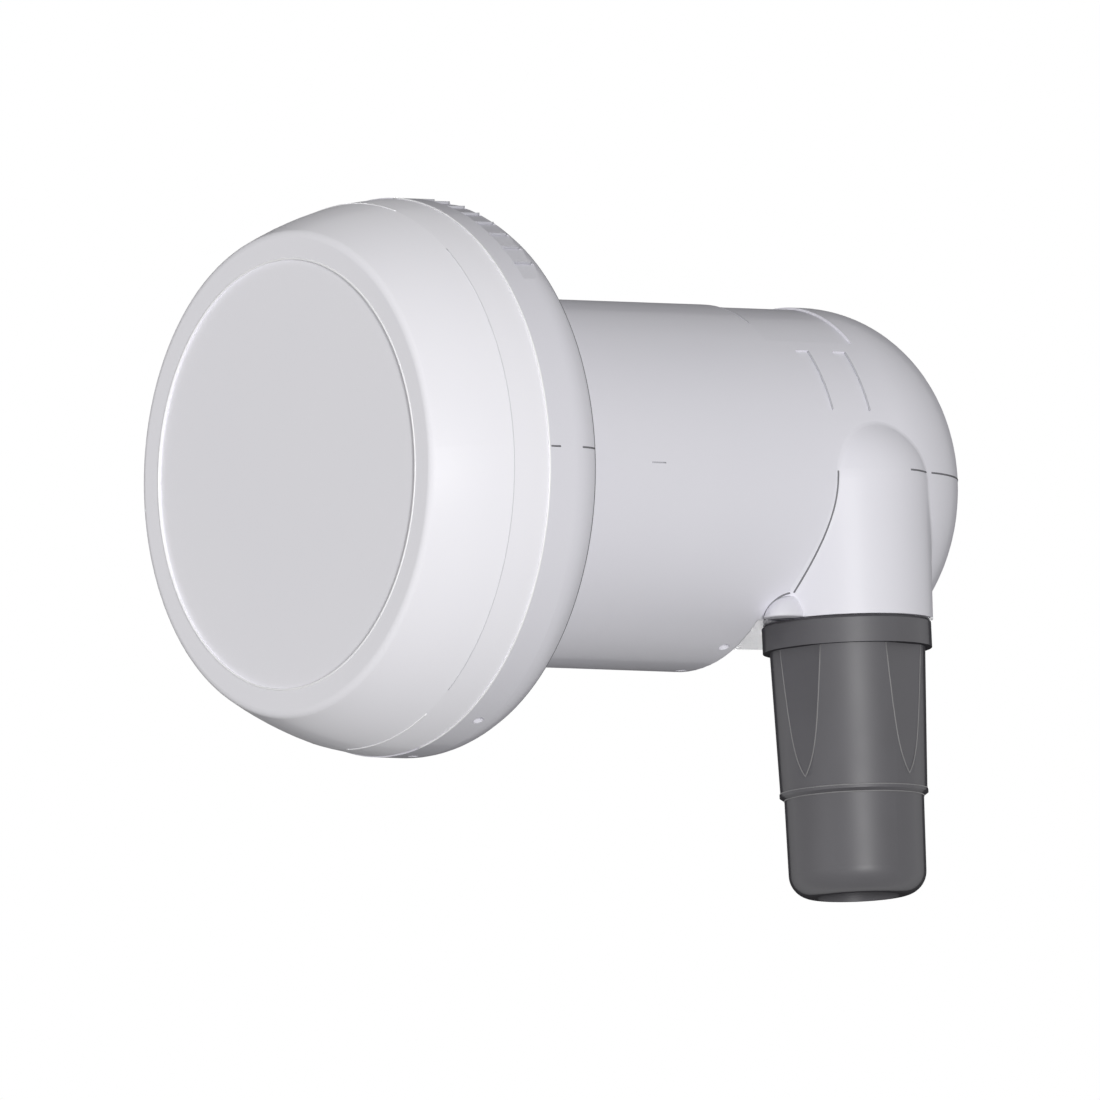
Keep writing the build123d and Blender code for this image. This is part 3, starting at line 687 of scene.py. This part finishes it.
socket_points = np.stack((r_grid * np.cos(turn), r_grid * np.sin(turn), z_grid), -1) * mm + socket_centre
socket = grid_piece("socket_threaded", socket_points, socket_nickel, closed_rows=True, sharp_degrees=28)
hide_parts("socket_shell")
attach(socket, "housing")
print("thread turns:", round((land_z - foot_z) / thread_pitch, 1))

# %% [markdown]
# Where two mouldings meet, or a surface ends in an edge, the picture has a line about 0.2 mm
# wide. It is dark in a joint, a step or a sharp inner corner, where it is painted shade, with some
# dust in the joints. It is light along an edge, where it is a painted highlight. Each line is a
# ribbon along a curve that is known exactly, because the housing is a set of cylinders, cones and spheres.

# %% Materials of the lines: painted shade and painted highlight
# Dark grey lines: some dust in the joints, and painted shade in joints, inner corners and under the ring's
# rear edge.
joint_dust_and_shade = moulded(
    "joint_dust_and_painted_shade",
    colours=(0x7A7A7E, 0x86868A),
    drift_mm=1.2,
    gloss=(0.85, 0.95),
    grain_mm=0.05,
    grain_height_mm=0.002,
    Specular_IOR_Level=0.0,
)
# Pale grey lines: painted shade where slots, teeth and the label recess step down, and along the neck's
# joint.
pale_painted_shade = moulded(
    "pale_painted_shade_lines",
    colours=(0xBCBCC2, 0xC4C4CA),
    drift_mm=1.2,
    gloss=(0.85, 0.95),
    grain_mm=0.05,
    grain_height_mm=0.002,
    Specular_IOR_Level=0.0,
)
# Near-white lines: painted highlight along the cap's disc lip, its joint with the ring and its crease.
edge_painted_highlight = moulded(
    "edge_polypropylene_painted_highlight",
    colours=(0xFCFCFF, 0xFFFFFF),
    drift_mm=3,
    gloss=(0.3, 0.36),
    grain_mm=0.08,
    grain_height_mm=0.001,
    Specular_IOR_Level=0.5,
)
# Light grey lines on the dark boot: painted highlight along the edges of its grip flats and foot bead.
rubber_painted_highlight = moulded(
    "edge_epdm_painted_highlight",
    colours=(0x7C7B7C, 0x858485),
    drift_mm=2,
    gloss=(0.5, 0.6),
    grain_mm=0.08,
    grain_height_mm=0.002,
    Specular_IOR_Level=0.3,
)
# A cap colour a shade darker: painted shade along the cap's crease.
crease_shade = moulded(
    "edge_polypropylene_painted_shade",
    colours=(0xE0E0E4, 0xE4E4E8),
    drift_mm=3,
    gloss=(0.7, 0.8),
    grain_mm=0.08,
    grain_height_mm=0.001,
    Specular_IOR_Level=0.0,
)
print("line materials:", joint_dust_and_shade.name, pale_painted_shade.name, edge_painted_highlight.name, rubber_painted_highlight.name)

# %% [markdown]
# The curves come first. An arc around the feed axis is given by its radius, its place along
# the axis and its angles from the top. The ribbon needs the outward normal too, so each curve
# is a pair: the points and the normals.


# %% Curves around the feed axis and the socket
def feed_arc(radius, along, first, last, count=97, tilt=0.0):
    """p(a) = (radius sin a, along, radius cos a), with the normal tipped back by `tilt` degrees."""
    angle = np.radians(np.linspace(first, last, count, endpoint=last - first < 360))
    lean = np.radians(tilt)
    out = np.stack((np.sin(angle), 0 * angle, np.cos(angle)), -1)
    return out * radius + (0, along, 0), out * np.cos(lean) + (0, np.sin(lean), 0)


def on_boss(reach, z, angle):
    """p = (cx + reach cos a, cy + reach sin a, z) and its level outward normal."""
    out = np.stack((np.cos(angle), np.sin(angle), 0 * angle), -1)
    return out * reach[:, None] + (socket_x, socket_y, 0) + z[:, None] * (0, 0, 1), out


socket_x, socket_y = (float(part) for part in socket_centre[:2] / mm)
neck_radius = 20.0
line_width = 0.2
print("socket axis at", round(socket_x, 2), round(socket_y, 2), "mm")

# %% [markdown]
# The two shells of the housing meet in the level plane through the feed axis. The picture shows
# the joint only in short pieces on the ring and the neck, and then on the boss and the rear
# dome. It is drawn there, and round the dome's far side too, but not along the rest of the neck.
# The dark line is partly dust in the joint and partly painted shade.

# %% Joint of the two shells
ring_radius = 30.4
ring_y = np.linspace(-23.7, -22.4, 5)
ring_line = np.stack((0 * ring_y + ring_radius, ring_y, 0 * ring_y), -1)
ribbon("joint_ring", ring_line, np.array([(1.0, 0, 0)] * 5), line_width, 0.05, joint_dust_and_shade)
crown_radius = 5.4012
crown_start = -20.2
crown_y = np.linspace(-19.4, -17.1, 12)
lean = (crown_y - crown_start) / crown_radius
level_part = np.sqrt(1 - lean**2)
crown_line = np.stack((ring_radius - crown_radius + crown_radius * level_part, crown_y, 0 * lean), -1)
crown_out = np.stack((level_part, lean, 0 * lean), -1)
ribbon("joint_crown", crown_line, crown_out, line_width, 0.05, joint_dust_and_shade)
neck_y = np.linspace(-2.4, -0.5, 5)
neck_line = np.stack((0 * neck_y + neck_radius, neck_y, 0 * neck_y), -1)
ribbon("joint_neck", neck_line, np.array([(1.0, 0, 0)] * 5), 0.16, 0.04, pale_painted_shade)
boss_turn = np.radians(np.linspace(17, 66, 24))
boss_line_reach = 9.64
boss_line, boss_out = on_boss(0 * boss_turn + boss_line_reach, 0 * boss_turn, boss_turn)
ribbon("joint_boss", boss_line, boss_out, line_width, 0.05, joint_dust_and_shade)
dome_radius, dome_half_flat, dome_y = 14.5, 5.5, 31.6
near_count, far_count = 40, 48
near_turn = np.linspace(17, 90, near_count)
dome_turn = np.radians(np.concatenate((near_turn, np.linspace(90, 176, far_count))))
dome_out = np.stack((np.cos(dome_turn), np.sin(dome_turn), 0 * dome_turn), -1)
centre_x = np.where(np.arange(len(dome_turn)) < near_count, dome_half_flat, -dome_half_flat)
dome_line = dome_out * dome_radius + np.stack((centre_x, 0 * centre_x + dome_y, 0 * centre_x), -1)
ribbon("joint_dome", dome_line, dome_out, line_width, 0.05, joint_dust_and_shade)
print("joint lines done")

# %% [markdown]
# The boss is a slightly tapered cylinder that meets the neck's cylinder in a small fillet. At
# height z the neck's side is at x = sqrt(400 - z^2), and the boss's circle of radius r(z) meets
# it at y = cy - sqrt(r(z)^2 - (x - cx)^2). A fillet of radius f between surfaces whose normals
# stand 2h apart lies f (1 / cos h - 1) outside the sharp corner, so the line is moved out by
# that. Low down, the corner runs round a lobe that swells just above the boot. It is a sphere,
# and its points sink into the boss along the picture's line of sight by k s^2, where s grows
# from 0 on the left to 1 on the right. So its left side stands free of the neck and its right
# side melts away. One picture gives no depth, so the lobe's depth is made up.

# %% Corner of the boss and the lobe
corner_fillet = 1.0
boss_radius, boss_taper, boss_taper_length = 9.7, 0.26, 14.8
fall = np.linspace(-0.2, -13.0, 60)
boss_reach = boss_radius - boss_taper * np.clip(-fall - 1, 0, None) / boss_taper_length
side = np.sqrt(neck_radius**2 - fall**2)
corner = np.stack((side, socket_y - np.sqrt(boss_reach**2 - (side - socket_x) ** 2), fall), -1)
neck_out = np.stack((side, 0 * side, fall), -1) / neck_radius
boss_out = (corner - (socket_x, socket_y, 0)) * (1, 1, 0) / boss_reach[:, None]
between = neck_out + boss_out
half_cosine = np.linalg.norm(between, axis=-1, keepdims=True) / 2
between /= 2 * half_cosine
corner = corner + between * corner_fillet * (1 / half_cosine - 1)
# The dark line along the corner is painted shade in the inner corner, with some dust.
ribbon("corner_boss", corner, between, 0.2, 0.06, joint_dust_and_shade)
lobe_radius = 3.75
lobe_centre = np.array((15.2, 19.8, -16.8))
lobe_sink = 8.0
shelf_z = -15.8
low = np.linspace(-13.12, shelf_z + 0.05, 40)
side = np.sqrt(neck_radius**2 - low**2)
swell = lobe_radius**2 - (low - lobe_centre[2]) ** 2 - (side - lobe_centre[0]) ** 2
edge = np.stack((side, lobe_centre[1] - np.sqrt(swell), low), -1)
neck_out = np.stack((side, 0 * side, low), -1) / neck_radius
# The dark line round the lobe is painted shade where it meets the neck.
ribbon("corner_lobe", edge, neck_out + (edge - lobe_centre) / lobe_radius, 0.24, 0.12, joint_dust_and_shade)
rise = np.arcsin((shelf_z + 0.25 - lobe_centre[2]) / lobe_radius)
lift = np.linspace(rise, np.pi / 2 - 0.02, 20)
reach = np.concatenate(([0.86, 0.95], np.cos(lift)))[:, None]
height = np.concatenate(([shelf_z, shelf_z + 0.07], lobe_centre[2] + lobe_radius * np.sin(lift)))
turn = np.linspace(0, 2 * np.pi, 48, endpoint=False)
level = np.stack((reach * np.cos(turn), reach * np.sin(turn)), -1) * lobe_radius + lobe_centre[:2]
lobe_points = np.concatenate((level, np.repeat(height[:, None, None], len(turn), 1)), -1)
rightward = (lobe_points - lobe_centre) @ np.array(right) / (2 * lobe_radius) + 0.5
sunk = lobe_sink * np.clip(rightward, 0, 1) ** 2
lobe_points = lobe_points - sunk[..., None] * np.array((back.x, back.y, 0))
lobe = grid_piece("boss_lobe", lobe_points * mm, housing_asa, closed_rows=False)
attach(lobe, "housing")
print("corner lines done")

# %% [markdown]
# Where the ring ends, and where a slot, a tooth or the label recess steps down, the picture has
# a fine dark line, drawn here as painted shade. The ring's rear edge gets one all round. The
# slots, the recess and the teeth get theirs only on the side that the picture shows, so they
# are bare on the other side. On each tooth the painted shade lies over the face that steps down.

# %% Edges of the ring, the slots and the label recess
edge_radius, edge_y = 29.27, -17.03
slot_depth_drawn = 0.09
tooth_reach, tooth_first, tooth_step = 30.22, 3.32, 5.3
ring_edge = feed_arc(edge_radius, edge_y, 0, 360, 240, tilt=45)
ribbon("edge_ring_rear", *ring_edge, 0.24, 0.1, joint_dust_and_shade, closed=True)
for index, wall_y in enumerate((23.35, 28.35)):
    arc = feed_arc(neck_radius - slot_depth_drawn, wall_y - 0.02, 47.6, 70.5, 40)
    ribbon(f"edge_slot_{index}", *arc, 0.18, 0.12, pale_painted_shade)
ribbon("edge_label_front", *feed_arc(neck_radius, 18.5, 17, 33, 24), 0.16, 0.04, pale_painted_shade)
tooth_y = np.linspace(-21.25, -18.7, 9)
for index in range(1, 9):
    angle = np.radians(tooth_first + tooth_step * index)
    out = np.array((np.sin(angle), 0, np.cos(angle)))
    step = out * tooth_reach + tooth_y[:, None] * (0, 1, 0)
    facing = np.repeat([(np.cos(angle), 0, -np.sin(angle))], len(tooth_y), 0)
    ribbon(f"edge_tooth_{index}", step, facing, 0.36, 0.03, pale_painted_shade)
print("edges done")

# %% [markdown]
# The front disc is framed by a thin light line all round, a painted highlight on the lip of its
# recess. A second one runs along the joint between the cap and the ring. Along the cap's crease
# runs a faint line of painted shade, with short painted highlights at its two ends. The last
# two follow the picture, so they end where its view of them does.

# %% Light edges of the cap
disc_radius, disc_y = 23.42, -37.0
cap_rear_radius, cap_rear_y = 30.35, -23.87
crease_radius, crease_y = 29.66, -28.2
disc_edge = feed_arc(disc_radius, disc_y, 0, 360, 240, tilt=-90)
ribbon("edge_disc", *disc_edge, 0.24, 0.07, edge_painted_highlight, closed=True)
ribbon("edge_cap_rear", *feed_arc(cap_rear_radius, cap_rear_y, 8, 172, 181), 0.26, 0.08, edge_painted_highlight)
ribbon("edge_crease", *feed_arc(crease_radius, crease_y, 40, 148, 109), 0.14, 0.03, crease_shade)
for index, (first, last) in enumerate(((-8, 20), (157, 186))):
    arc = feed_arc(crease_radius, crease_y, first, last, 40)
    ribbon(f"edge_crease_light_{index}", *arc, 0.2, 0.05, edge_painted_highlight)
print("cap edges done")

# %% [markdown]
# On the boot, light lines of painted highlight frame the four grip flats. A flat is a plane at
# distance d(z) from the socket's axis that cuts the cone of radius r(z), so its edge stands at
# the angle arccos(d / r) to either side of the flat's middle, and closes in a tip where d reaches
# r. Two more light rings of painted highlight run above and below the sleeve's foot bead.

# %% Light edges of the boot
flat_top, flat_foot = -18.9, -33.05
sleeve_top = -18.85
cone_radius, cone_taper, cone_length = 8.46, 0.46, 15.45
flat_reach, flat_widening, flat_length = 7.95, 0.05, 14.15
tip_gap = np.arccos(8.0 / 8.0387)
flat_count, flat_turn = 4, 13
half_count = 48
root = np.linspace(0, 1, half_count) ** 0.5
fraction = np.concatenate((root, (np.linspace(1, 0, half_count) ** 0.5)[1:]))
z = flat_top + (flat_foot - flat_top) * fraction
cone = cone_radius - cone_taper * (sleeve_top - z) / cone_length
plane = flat_reach + flat_widening * (sleeve_top - z) / flat_length
half = np.arccos(np.clip(plane / cone, -1, 1)) - tip_gap * fraction**8
half = half * np.where(np.arange(len(z)) < half_count, -1, 1)
for index in range(flat_count):
    middle = np.radians(flat_turn + 90 * index) - np.pi / 2
    spine, out = on_boss(cone, z, middle + half)
    ribbon(f"edge_flat_{index}", spine, out, 0.16, 0.05, rubber_painted_highlight, body="boot")
circle = np.linspace(0, 2 * np.pi, 120, endpoint=False)
for name, reach, height in (("bead_top", 8.06, -34.3), ("bead_foot", 7.62, -35.0)):
    spine, out = on_boss(0 * circle + reach, 0 * circle + height, circle)
    ribbon(f"edge_{name}", spine, out, 0.16, 0.05, rubber_painted_highlight, body="boot", closed=True)
print("boot edges done")
